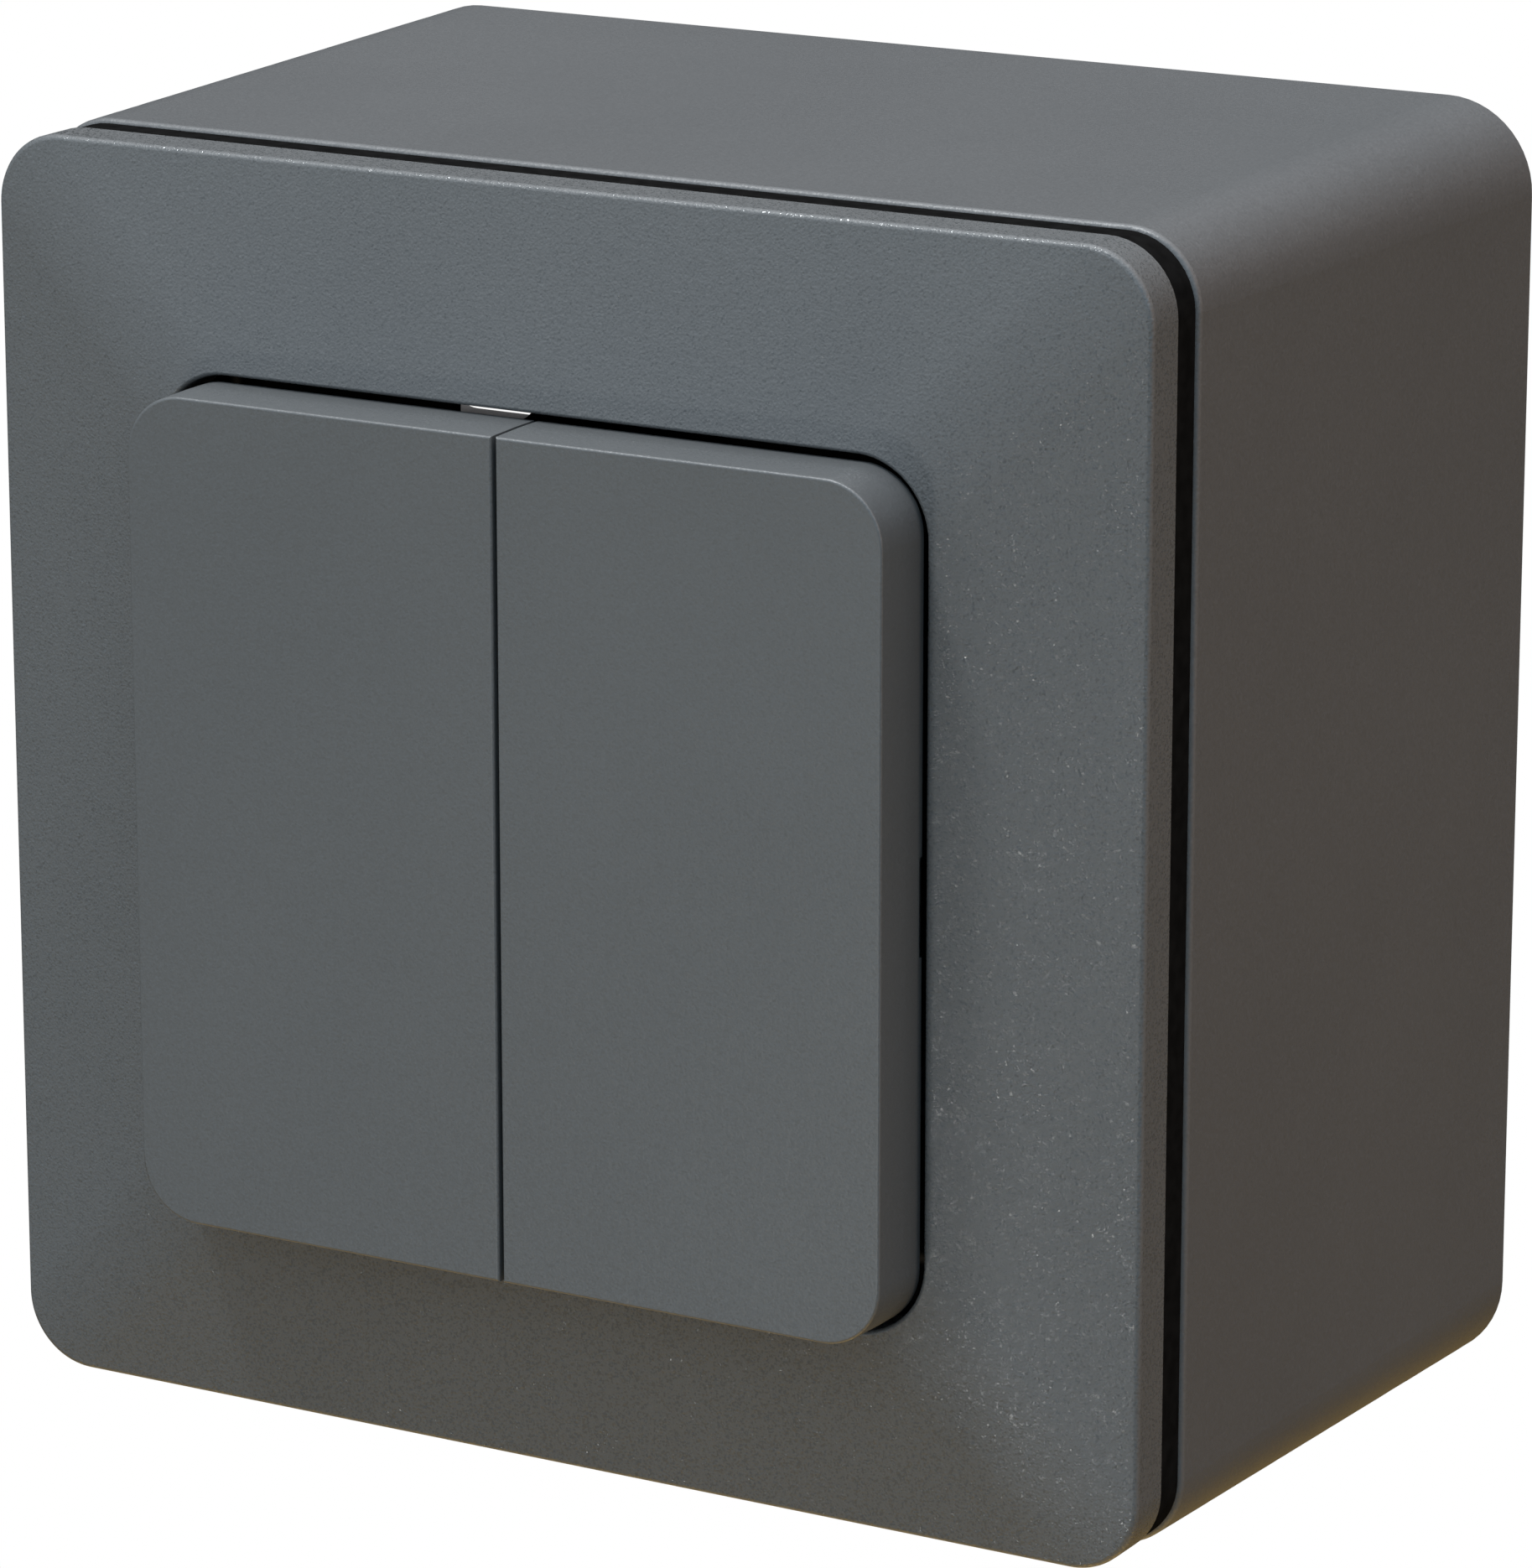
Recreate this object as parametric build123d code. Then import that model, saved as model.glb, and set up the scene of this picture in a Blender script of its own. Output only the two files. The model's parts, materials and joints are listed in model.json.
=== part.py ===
from build123d import *
import math
import os

# Two-gang surface-mounted rocker switch, in millimetres.
# The origin is the centre of the wall face. The wall is the plane y = 0 and the
# front of the switch points along -Y, so a "depth" is a distance out from the wall.
# +X is to the right as seen from the front, +Z is up.

# ---- outside, from the wall outwards ----
BOX_DEPTH = 46.2            # wall to the front rim of the box
BOX_FRONT_WIDTH = 85.4
BOX_BACK_WIDTH = 87.8       # the sides are drafted outwards towards the wall
BOX_FRONT_CORNER = 5.0
BOX_BACK_CORNER = 6.2
BOX_WALL = 2.2
BOX_FLOOR = 2.5
RING_THICKNESS = 2.5
RING_WIDTH = 84.8
RING_CORNER = 4.7
RING_LIP_REACH = 2.5        # the ring's locating lip inside the mouth of the box
RING_LIP_CORNER = 2.6
RING_INNER_CORNER = 2.0
RING_LIP_GAP = 0.2
PLATE_MARGIN = 2.0          # between the support frame and the inside of the ring
FRAME_WIDTH = 85.0
FRAME_CORNER = 4.8
FRAME_SIDE = 3.3            # flat side wall of the cover frame
FRAME_CROWN = 2.45          # rise from the rim to the edge of the opening
FRAME_WALL = 1.8
FRAME_SHOULDER = 1.6        # thickness behind the rim, before the inside follows the slope
SKIRT_REACH = 1.2           # skirt round the opening, behind the rim
OPENING_WIDTH = 56.84
OPENING_CORNER = 5.1
EDGE_RADIUS = 0.4           # small rounding on the outer edges
LIP_RADIUS = 0.22           # rounding round the opening

# ---- keys ----
KEY_FRONT_DEPTH = 59.05     # wall to the keys' front faces
KEY_PAIR_SIZE = 55.64       # both keys together, across the front face, both ways
KEY_FLARE = 0.08            # how far the side walls spread on each side
KEY_FLARE_DEPTH = 3.0
KEY_CORNER = 4.15
KEY_GAP = 0.3               # between the two keys
KEY_SKIRT = 5.15            # front face to the rear edge of the side walls
KEY_PLATE = 1.8
KEY_WALL = 0.95
KEY_EDGE_RADIUS = 0.18
INNER_SKIRT_INSET = 1.0     # second, deeper skirt inside the first
INNER_SKIRT_REACH = 1.7
INNER_SKIRT_CORNER = 3.55
HOLLOW_CORNER = 2.65
NOTCH_LENGTH = 6.5          # screwdriver notch in the rear edge of each outer wall
NOTCH_DEPTH = 0.33
EAR_CLEARANCE = 1.5         # room in the inner wall for the middle bearing ear
CLIP_X = 6.0                # clips and pads behind the key, from the middle of the gang
CLIP_Z = 14.0
CLIP_HALF_WIDTH = 1.1
CLIP_HALF_THICKNESS = 0.6
CLIP_PROUD = 1.0            # how far the clips reach out behind the rocker plate
CLIP_ROOM = 0.1
PAD_HEIGHT = 0.35           # pads that keep the key off its rocker plate
PAD_HALF_WIDTH = 1.5
PAD_HALF_HEIGHT = 2.5

# ---- rocking parts ----
PIVOT_DEPTH = 50.0          # wall to the axis that the keys tilt about
GANG_X = 10.9               # centre of each gang, left and right of the middle
TRUNNION_RADIUS = 1.5
RUNNING_CLEARANCE = 0.05
CRADLE_HALF_WIDTH = 9.5
CRADLE_HALF_HEIGHT = 19.0
CRADLE_PLATE = 1.6
CRADLE_CHEEK = 1.4
CRADLE_CORNER = 2.0
CRADLE_JOIN = 0.5           # how far the webs run into the sleeve
CRADLE_WEB_HALF = 0.7
CRADLE_WEB_DROP = 0.6
CHEEK_TOP_HALF = 7.0        # half height of each cheek at the plate, the pivot and the foot
CHEEK_PIVOT_HALF = 2.6
CHEEK_FOOT_HALF = 2.0
CHEEK_FOOT_REACH = 1.6
EAR_GAP = 0.4               # side clearance between a cheek and a bearing ear
PIN_IN_OUTER_EAR = 1.4
PIN_IN_MIDDLE_EAR = 0.65
SLEEVE_RADIUS = 3.1
SLEEVE_BORE = 2.05
SLEEVE_END_DEPTH = 45.4
PLUNGER_RADIUS = 1.98
PLUNGER_TIP_RADIUS = 1.3
PLUNGER_REAR_DEPTH = 44.6
PLUNGER_FRONT_DEPTH = 51.6
PLUNGER_CUP_DEPTH = 46.2    # bottom of the hole that holds the spring
PLUNGER_GAP = 0.15          # between the tip and the blade, when level
SPRING_RADIUS = 0.95
SPRING_WIRE = 0.17
SPRING_TURNS = 7

# ---- support frame and its screws ----
PLATE_WIDTH = 71.0
PLATE_THICKNESS = 1.2
PLATE_CHAMFER = 9.0
PLATE_SCREW_X = 30.0        # the usual 60 mm between device screws
PLATE_SLOT_LENGTH = 6.0
PLATE_SLOT_WIDTH = 4.0
FLANGE_HALF_LENGTH = 24.0   # stiffening flanges along the plate's top and bottom
FLANGE_HEIGHT = 2.0
COVER_FIT = 0.2             # plate opening round the mechanism cover
SCREW_RADIUS = 1.6
SCREW_HEAD_RADIUS = 3.2
SCREW_HEAD_HEIGHT = 2.0
SCREW_LENGTH = 16.0
SCREW_HEAD_ROUNDING = 0.8
SCREW_TIP_GAP = 0.5
CROSS_HALF_WIDTH = 0.45     # cross recess in each head
CROSS_HALF_LENGTH = 1.9
CROSS_DEPTH = 1.1
POST_RADIUS = 3.8
WEB_THICKNESS = 1.6         # rib that ties each screw post to the wall of the box
WEB_START = 3.0
WEB_DROP = 6.0
WINDOW_HALF_WIDTH = 10.5    # cut-outs in the plate above and below the mechanism
WINDOW_TOP = 28.2
WINDOW_CORNER = 1.5
HOOK_X = 32.4               # where the cover frame's hooks pass through the plate
HOOK_Z = 20.0
HOOK_HALF_THICKNESS = 0.6
HOOK_HALF_HEIGHT = 2.4
HOOK_BARB = 0.5
HOOK_REACH = 1.2            # how far the hooks reach behind the plate
HOOK_HOLE_HALF_WIDTH = 1.3
HOOK_HOLE_HALF_HEIGHT = 3.0

# ---- mechanism ----
BASE_HALF_WIDTH = 24.0
BASE_HALF_HEIGHT = 19.4
BASE_REAR_DEPTH = 27.6
BASE_CHAMFER = 4.0
BASE_FLOOR = 1.6
CAVITY_HALF_WIDTH = 21.4
CAVITY_HALF_HEIGHT = 18.2
COVER_HALF_WIDTH = 22.4
COVER_HALF_HEIGHT = 19.2
COVER_PLATE = 1.4
EAR_DEPTH = 52.2
EAR_HALF_HEIGHT = 3.2
EAR_THICKNESS = 1.5
EAR_ROUNDING = 1.6
COVER_CHAMFER = 3.4
SWING_HALF_WIDTH = 4.2      # hole in the cover where each sleeve swings
SWING_HALF_HEIGHT = 4.6
FOOT_HALF_WIDTH = 3.0       # feet of the cover that grip inside the base
FOOT_REACH = 5.0
FOOT_THICKNESS = 1.1
RIB_HALF = 0.8              # barrier between the two gangs
RIB_ROOM = 0.3
RIVET_X = 25.8
RIVET_Z = 14.0
RIVET_RADIUS = 1.2
RIVET_HEAD_RADIUS = 1.9
RIVET_HEAD_HEIGHT = 0.7
RIVET_TAIL_RADIUS = 1.7
RIVET_TAIL_HEIGHT = 0.6
TAB_MARGIN = 2.2
TAB_THICKNESS = 2.4         # tabs of the mechanism base behind the plate

# ---- contacts and terminals ----
BLADE_PIVOT_DEPTH = 37.0
BLADE_THICKNESS = 0.8
BLADE_HALF_LENGTH = 9.5
BLADE_HALF_WIDTH = 2.5
BLADE_ANGLE = 10.0          # each arm leans forwards from the pivot
BLADE_PIN_RADIUS = 0.6
SADDLE_HALF_GAP = 2.9
SADDLE_THICKNESS = 0.8
CONTACT_Z = 8.3
CONTACT_RADIUS = 1.4
MOVING_CONTACT_HEIGHT = 0.3
FIXED_CONTACT_HEIGHT = 0.55
CONTACT_ROUNDING = 0.25
STRIP_THICKNESS = 0.8
OUTPUT_STRIP_DEPTH = 35.7
COMMON_BAR_DEPTH = 34.9
STRIP_HALF_WIDTH = 2.5
OUTPUT_STRIP_END_Z = 5.7
COMMON_BAR_HALF_HEIGHT = 2.2
SADDLE_HALF_HEIGHT = 1.6
SADDLE_RISE = 1.3           # how far the saddle ears stand in front of the blade's pins
CLAMP_Z = 16.8              # the clamped end of each strip
CAGE_HALF_WIDTH = 3.2
CAGE_WALL = 0.8
CAGE_SIDE = 0.6
CAGE_FIT = 0.2
CAGE_FRONT_DEPTH = 33.4
CLAMP_SCREW_RADIUS = 1.45
CLAMP_SCREW_HOLE = 1.8
CLAMP_SCREW_SUNK = 0.1      # the heads lie just inside the face of the mechanism base
CLAMP_SCREW_SLOT = 0.5
CLAMP_SLOT_DEPTH = 0.7
WIRE_HOLE_RADIUS = 1.9
WIRE_Z = 13.6

# ---- fixing to the wall ----
FIXING_X = 36.2             # centres of the four wall slots
FIXING_Z = 16.8
FIXING_SLOT_LENGTH = 8.8
FIXING_SLOT_RADIUS = 2.2
CABLE_WINDOW_WIDTH = 18.0
CABLE_WINDOW_HEIGHT = 22.0
CABLE_WINDOW_CORNER = 3.0
BREAKOUT_WIDTH = 16.0
BREAKOUT_DEPTH = 12.0
BREAKOUT_SKIN = 0.8
BREAKOUT_DRAFT = 0.4        # how far the drafted wall leans in over the breakout

RING_DEPTH = BOX_DEPTH + RING_THICKNESS
RIM_DEPTH = RING_DEPTH + FRAME_SIDE
OPENING_DEPTH = RIM_DEPTH + FRAME_CROWN
PLATE_FRONT_DEPTH = BOX_DEPTH + PLATE_THICKNESS
KEY_REAR_DEPTH = KEY_FRONT_DEPTH - KEY_SKIRT
KEY_INSIDE_DEPTH = KEY_FRONT_DEPTH - KEY_PLATE
CRADLE_FRONT_DEPTH = KEY_INSIDE_DEPTH - PAD_HEIGHT
CRADLE_BACK_DEPTH = CRADLE_FRONT_DEPTH - CRADLE_PLATE
BASE_FLOOR_DEPTH = BASE_REAR_DEPTH + BASE_FLOOR
COVER_FRONT_DEPTH = BOX_DEPTH + COVER_PLATE
CLAMP_SCREW_DEPTH = (BASE_FLOOR_DEPTH + CAGE_FRONT_DEPTH) / 2

GANGS = {"left": -GANG_X, "right": GANG_X}


def slab(x_range, depth_range, z_range):
    """A box between two X, two depths from the wall, and two Z."""
    x0, x1 = sorted(x_range)
    d0, d1 = sorted(depth_range)
    z0, z1 = sorted(z_range)
    centre = ((x0 + x1) / 2, -(d0 + d1) / 2, (z0 + z1) / 2)
    return Pos(*centre) * Box(x1 - x0, d1 - d0, z1 - z0)


def rod(radius, depth_range, x=0.0, z=0.0):
    """A cylinder that runs along Y."""
    d0, d1 = sorted(depth_range)
    return Pos(x, -(d0 + d1) / 2, z) * Rot(90, 0, 0) * Cylinder(radius, d1 - d0)


def cross_rod(radius, x_range, depth, z=0.0):
    """A cylinder that runs along X."""
    x0, x1 = sorted(x_range)
    return Pos((x0 + x1) / 2, -depth, z) * Rot(0, 90, 0) * Cylinder(radius, x1 - x0)


def upright_rod(radius, z_range, x, depth):
    """A cylinder that runs along Z."""
    z0, z1 = sorted(z_range)
    return Pos(x, -depth, (z0 + z1) / 2) * Cylinder(radius, z1 - z0)


def rounded(width, height, corner, depth):
    """A rounded rectangle parallel to the wall."""
    return Plane.XZ.offset(depth) * RectangleRounded(width, height, corner)


def rounded_slab(width, height, corner, depth_range):
    d0, d1 = sorted(depth_range)
    return extrude(rounded(width, height, corner, d0), amount=d1 - d0)


def rounded_taper(near, far):
    """A solid between two rounded rectangles, each (width, height, corner, depth)."""
    return loft([rounded(*near), rounded(*far)], ruled=True)


def edges_at(solid, depth):
    """The edges that lie in the plane at this depth."""
    boxes = [(edge, edge.bounding_box()) for edge in solid.edges()]
    return [edge for edge, box in boxes
            if abs(box.min.Y + depth) < 0.01 and abs(box.max.Y + depth) < 0.01]


def mirrored_places(x, z):
    return [(sx * x, sz * z) for sx in (-1, 1) for sz in (-1, 1)]


def clip_places(side):
    """Where a key's four clips pass through its rocker plate."""
    return [(side * GANG_X + x, z) for x, z in mirrored_places(CLIP_X, CLIP_Z)]


def make_surface_box():
    outside = rounded_taper(
        (BOX_BACK_WIDTH, BOX_BACK_WIDTH, BOX_BACK_CORNER, 0),
        (BOX_FRONT_WIDTH, BOX_FRONT_WIDTH, BOX_FRONT_CORNER, BOX_DEPTH))
    outside = fillet(edges_at(outside, BOX_DEPTH), EDGE_RADIUS)
    draft = (BOX_BACK_WIDTH - BOX_FRONT_WIDTH) * BOX_FLOOR / BOX_DEPTH
    floor_width = BOX_BACK_WIDTH - draft - 2 * BOX_WALL
    front_width = BOX_FRONT_WIDTH - 2 * BOX_WALL
    inside = rounded_taper(
        (floor_width, floor_width, BOX_BACK_CORNER - BOX_WALL, BOX_FLOOR),
        (front_width, front_width, BOX_FRONT_CORNER - BOX_WALL, BOX_DEPTH))
    box = outside - inside
    for side in (-1, 1):
        x = side * PLATE_SCREW_X
        post = rod(POST_RADIUS, (BOX_FLOOR, BOX_DEPTH), x)
        web = slab((x + side * WEB_START, side * front_width / 2), (BOX_FLOOR, BOX_DEPTH - WEB_DROP),
                   (-WEB_THICKNESS / 2, WEB_THICKNESS / 2))
        box += post + web
        box -= rod(SCREW_RADIUS + RUNNING_CLEARANCE, (BOX_DEPTH - SCREW_LENGTH, BOX_DEPTH), x)
        skin_outside = BOX_BACK_WIDTH / 2 - BREAKOUT_DRAFT
        box -= slab((-BREAKOUT_WIDTH / 2, BREAKOUT_WIDTH / 2), (BOX_FLOOR, BOX_FLOOR + BREAKOUT_DEPTH),
                    (side * (skin_outside - BOX_WALL - 2), side * (skin_outside - BREAKOUT_SKIN)))
    for x, z in mirrored_places(FIXING_X, FIXING_Z):
        slot = Plane.XZ * Pos(x, z) * SlotOverall(FIXING_SLOT_LENGTH, 2 * FIXING_SLOT_RADIUS)
        box -= extrude(slot, amount=BOX_FLOOR)
    box -= rounded_slab(CABLE_WINDOW_WIDTH, CABLE_WINDOW_HEIGHT, CABLE_WINDOW_CORNER, (0, BOX_FLOOR))
    return box


def make_spacer_ring():
    inner_width = PLATE_WIDTH + 2 * PLATE_MARGIN
    lip_width = BOX_FRONT_WIDTH - 2 * (BOX_WALL + RING_LIP_GAP)
    lip_depths = (BOX_DEPTH - RING_LIP_REACH, BOX_DEPTH)
    ring = rounded_slab(RING_WIDTH, RING_WIDTH, RING_CORNER, (BOX_DEPTH, RING_DEPTH))
    ring += rounded_slab(lip_width, lip_width, RING_LIP_CORNER, lip_depths)
    ring -= rounded_slab(inner_width, inner_width, RING_INNER_CORNER, (lip_depths[0], RING_DEPTH))
    for side in (-1, 1):
        ring -= slab((side * inner_width / 2, side * RING_WIDTH / 2), lip_depths,
                     (-WEB_THICKNESS / 2 - RING_LIP_GAP * 2, WEB_THICKNESS / 2 + RING_LIP_GAP * 2))
    return ring


def make_support_frame():
    plate = extrude(
        Plane.XZ.offset(BOX_DEPTH) * chamfer(Rectangle(PLATE_WIDTH, PLATE_WIDTH).vertices(), PLATE_CHAMFER),
        amount=PLATE_THICKNESS)
    cut = (BOX_DEPTH, PLATE_FRONT_DEPTH)
    half_width = COVER_HALF_WIDTH + COVER_FIT
    half_height = COVER_HALF_HEIGHT + COVER_FIT
    plate -= slab((-half_width, half_width), cut, (-half_height, half_height))
    plate -= rounded_slab(2 * WINDOW_HALF_WIDTH, 2 * WINDOW_TOP, WINDOW_CORNER, cut)
    for side in (-1, 1):
        slot = Rot(0, 0, 90) * SlotOverall(PLATE_SLOT_LENGTH, PLATE_SLOT_WIDTH)
        slot = Plane.XZ.offset(BOX_DEPTH) * Pos(side * PLATE_SCREW_X, 0) * slot
        plate -= extrude(slot, amount=PLATE_THICKNESS)
        plate += slab((-FLANGE_HALF_LENGTH, FLANGE_HALF_LENGTH), (BOX_DEPTH - FLANGE_HEIGHT, BOX_DEPTH),
                      (side * (PLATE_WIDTH / 2 - PLATE_THICKNESS), side * PLATE_WIDTH / 2))
    for x, z in mirrored_places(HOOK_X, HOOK_Z):
        plate -= slab((x - HOOK_HOLE_HALF_WIDTH, x + HOOK_HOLE_HALF_WIDTH), cut,
                      (z - HOOK_HOLE_HALF_HEIGHT, z + HOOK_HOLE_HALF_HEIGHT))
    for x, z in mirrored_places(RIVET_X, RIVET_Z):
        plate -= rod(RIVET_RADIUS, cut, x, z)
    return plate


def make_support_frame_screws():
    screws = []
    for side in (-1, 1):
        x = side * PLATE_SCREW_X
        head = rod(SCREW_HEAD_RADIUS, (PLATE_FRONT_DEPTH, PLATE_FRONT_DEPTH + SCREW_HEAD_HEIGHT), x)
        rim = head.edges().filter_by(GeomType.CIRCLE).sort_by(Axis.Y)[0]
        head = fillet(rim, SCREW_HEAD_ROUNDING)
        shank = rod(SCREW_RADIUS, (BOX_DEPTH - SCREW_LENGTH + SCREW_TIP_GAP, PLATE_FRONT_DEPTH), x)
        screw = head + shank
        top = PLATE_FRONT_DEPTH + SCREW_HEAD_HEIGHT
        for half_x, half_z in ((CROSS_HALF_WIDTH, CROSS_HALF_LENGTH), (CROSS_HALF_LENGTH, CROSS_HALF_WIDTH)):
            screw -= slab((x - half_x, x + half_x), (top - CROSS_DEPTH, top), (-half_z, half_z))
        screws.append(screw)
    return screws


def make_cover_frame():
    body = rounded_slab(FRAME_WIDTH, FRAME_WIDTH, FRAME_CORNER, (RING_DEPTH, RIM_DEPTH))
    body += rounded_taper(
        (FRAME_WIDTH, FRAME_WIDTH, FRAME_CORNER, RIM_DEPTH),
        (OPENING_WIDTH, OPENING_WIDTH, OPENING_CORNER, OPENING_DEPTH))
    body = fillet(edges_at(body, RIM_DEPTH), EDGE_RADIUS)
    inner_width = FRAME_WIDTH - 2 * FRAME_WALL
    inner_corner = FRAME_CORNER - FRAME_WALL
    skirt_width = OPENING_WIDTH + 2 * FRAME_WALL
    shoulder_depth = RIM_DEPTH - FRAME_SHOULDER
    hollow = rounded_slab(inner_width, inner_width, inner_corner, (RING_DEPTH, shoulder_depth))
    hollow += rounded_taper(
        (inner_width, inner_width, inner_corner, shoulder_depth),
        (skirt_width, skirt_width, OPENING_CORNER, OPENING_DEPTH - FRAME_WALL))
    skirt_depths = (RIM_DEPTH - SKIRT_REACH, OPENING_DEPTH)
    skirt = rounded_slab(skirt_width, skirt_width, OPENING_CORNER + 1, skirt_depths)
    frame = body - (hollow - skirt)
    frame -= rounded_slab(OPENING_WIDTH, OPENING_WIDTH, OPENING_CORNER, (RING_DEPTH, OPENING_DEPTH))
    frame = fillet(edges_at(frame, OPENING_DEPTH), LIP_RADIUS)
    hook_end = BOX_DEPTH - HOOK_REACH
    for x, z in mirrored_places(HOOK_X, HOOK_Z):
        z_range = (z - HOOK_HALF_HEIGHT, z + HOOK_HALF_HEIGHT)
        out = math.copysign(1, x)
        edge = x + out * HOOK_HALF_THICKNESS
        frame += slab((x - out * HOOK_HALF_THICKNESS, edge), (hook_end, RIM_DEPTH + 1), z_range)
        frame += slab((edge, edge + out * HOOK_BARB), (hook_end, BOX_DEPTH), z_range)
    return frame


def make_key(side):
    """Both keys as one rounded block, cut down to the one on this side."""
    flare_depth = KEY_FRONT_DEPTH - KEY_FLARE_DEPTH
    wide_size = KEY_PAIR_SIZE + 2 * KEY_FLARE
    wide = (wide_size, wide_size, KEY_CORNER + KEY_FLARE)
    block = rounded_taper((*wide, flare_depth),
                          (KEY_PAIR_SIZE, KEY_PAIR_SIZE, KEY_CORNER, KEY_FRONT_DEPTH))
    block += rounded_slab(*wide, (KEY_REAR_DEPTH, flare_depth))
    inner_size = wide_size - 2 * INNER_SKIRT_INSET
    deep_end = KEY_REAR_DEPTH - INNER_SKIRT_REACH
    block += rounded_slab(inner_size, inner_size, INNER_SKIRT_CORNER, (deep_end, KEY_REAR_DEPTH))
    half = wide_size / 2 + 1
    x_inner = side * KEY_GAP / 2
    key = block & slab((x_inner, side * half), (deep_end, KEY_FRONT_DEPTH), (-half, half))
    key = fillet(edges_at(key, KEY_FRONT_DEPTH), KEY_EDGE_RADIUS)
    hollow_size = inner_size - 2 * KEY_WALL
    hollow = rounded_slab(hollow_size, hollow_size, HOLLOW_CORNER, (deep_end, KEY_INSIDE_DEPTH))
    key -= hollow & slab((x_inner + side * KEY_WALL, side * half),
                         (deep_end, KEY_INSIDE_DEPTH), (-half, half))
    outer_wall = side * wide_size / 2
    key -= slab((outer_wall - side * INNER_SKIRT_INSET, outer_wall),
                (KEY_REAR_DEPTH, KEY_REAR_DEPTH + NOTCH_DEPTH), (-NOTCH_LENGTH / 2, NOTCH_LENGTH / 2))
    ear_room = EAR_HALF_HEIGHT + EAR_CLEARANCE
    key -= slab((x_inner, x_inner + side * KEY_WALL), (deep_end, KEY_REAR_DEPTH + NOTCH_DEPTH),
                (-ear_room, ear_room))
    for x, z in clip_places(side):
        key += slab((x - PAD_HALF_WIDTH, x + PAD_HALF_WIDTH), (CRADLE_FRONT_DEPTH, KEY_INSIDE_DEPTH),
                    (z - PAD_HALF_HEIGHT, z + PAD_HALF_HEIGHT))
        key += slab((x - CLIP_HALF_WIDTH, x + CLIP_HALF_WIDTH),
                    (CRADLE_BACK_DEPTH - CLIP_PROUD, KEY_INSIDE_DEPTH),
                    (z - CLIP_HALF_THICKNESS, z + CLIP_HALF_THICKNESS))
    return key


def make_rocker(side):
    x = side * GANG_X
    plate = slab((x - CRADLE_HALF_WIDTH, x + CRADLE_HALF_WIDTH), (CRADLE_BACK_DEPTH, CRADLE_FRONT_DEPTH),
                 (-CRADLE_HALF_HEIGHT, CRADLE_HALF_HEIGHT))
    plate = fillet(plate.edges().filter_by(Axis.Y), CRADLE_CORNER)
    rocker = plate + rod(SLEEVE_RADIUS, (SLEEVE_END_DEPTH, CRADLE_BACK_DEPTH), x)
    foot_depth = PIVOT_DEPTH - CHEEK_FOOT_REACH
    half_outline = [(-CRADLE_BACK_DEPTH, CHEEK_TOP_HALF), (-PIVOT_DEPTH, CHEEK_PIVOT_HALF),
                    (-foot_depth, CHEEK_FOOT_HALF)]
    outline = half_outline + [(y, -z) for y, z in reversed(half_outline)]
    for cheek_side in (-1, 1):
        outer = x + cheek_side * CRADLE_HALF_WIDTH
        inner = outer - cheek_side * CRADLE_CHEEK
        cheek = Plane.YZ.offset(min(inner, outer)) * make_face(Polyline(*outline, close=True))
        rocker += extrude(cheek, amount=CRADLE_CHEEK)
        pin_length = EAR_GAP + (PIN_IN_OUTER_EAR if cheek_side == side else PIN_IN_MIDDLE_EAR)
        rocker += cross_rod(TRUNNION_RADIUS, (inner, outer + cheek_side * pin_length), PIVOT_DEPTH)
        web_inner = x + cheek_side * (SLEEVE_RADIUS - CRADLE_JOIN)
        rocker += slab((web_inner, inner), (PIVOT_DEPTH + CRADLE_WEB_DROP, CRADLE_BACK_DEPTH),
                       (-CRADLE_WEB_HALF, CRADLE_WEB_HALF))
    rocker -= rod(SLEEVE_BORE, (SLEEVE_END_DEPTH, CRADLE_BACK_DEPTH), x)
    slot_half_width = CLIP_HALF_WIDTH + CLIP_ROOM
    slot_half_height = CLIP_HALF_THICKNESS + CLIP_ROOM
    for clip_x, z in clip_places(side):
        rocker -= slab((clip_x - slot_half_width, clip_x + slot_half_width),
                       (CRADLE_BACK_DEPTH, CRADLE_FRONT_DEPTH),
                       (z - slot_half_height, z + slot_half_height))
    return rocker


def blade_front(z):
    """Depth of a blade's front surface at this height, at rest."""
    rise = z * math.tan(math.radians(BLADE_ANGLE))
    return BLADE_PIVOT_DEPTH + BLADE_THICKNESS / 2 + rise


TIP_CENTRE_DEPTH = (blade_front(0)
                    + (PLUNGER_TIP_RADIUS + PLUNGER_GAP) / math.cos(math.radians(BLADE_ANGLE)))


def make_plunger(side):
    x = side * GANG_X
    plunger = rod(PLUNGER_RADIUS, (PLUNGER_REAR_DEPTH, PLUNGER_FRONT_DEPTH), x)
    plunger += rod(PLUNGER_TIP_RADIUS, (TIP_CENTRE_DEPTH, PLUNGER_REAR_DEPTH), x)
    plunger += Pos(x, -TIP_CENTRE_DEPTH, 0) * Sphere(PLUNGER_TIP_RADIUS)
    plunger -= rod(PLUNGER_TIP_RADIUS, (PLUNGER_CUP_DEPTH, PLUNGER_FRONT_DEPTH), x)
    return plunger


def make_plunger_spring(side):
    """A coil spring from the cup of the plunger to the end of the sleeve."""
    x = side * GANG_X
    length = CRADLE_BACK_DEPTH - PLUNGER_CUP_DEPTH - 2 * SPRING_WIRE
    coil = Helix(pitch=length / SPRING_TURNS, height=length, radius=SPRING_RADIUS)
    section = Plane(origin=coil @ 0, z_dir=coil % 0) * Circle(SPRING_WIRE)
    spring = sweep(section, path=coil, is_frenet=True)
    return Pos(x, -PLUNGER_CUP_DEPTH - SPRING_WIRE, 0) * Rot(90, 0, 0) * spring


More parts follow.
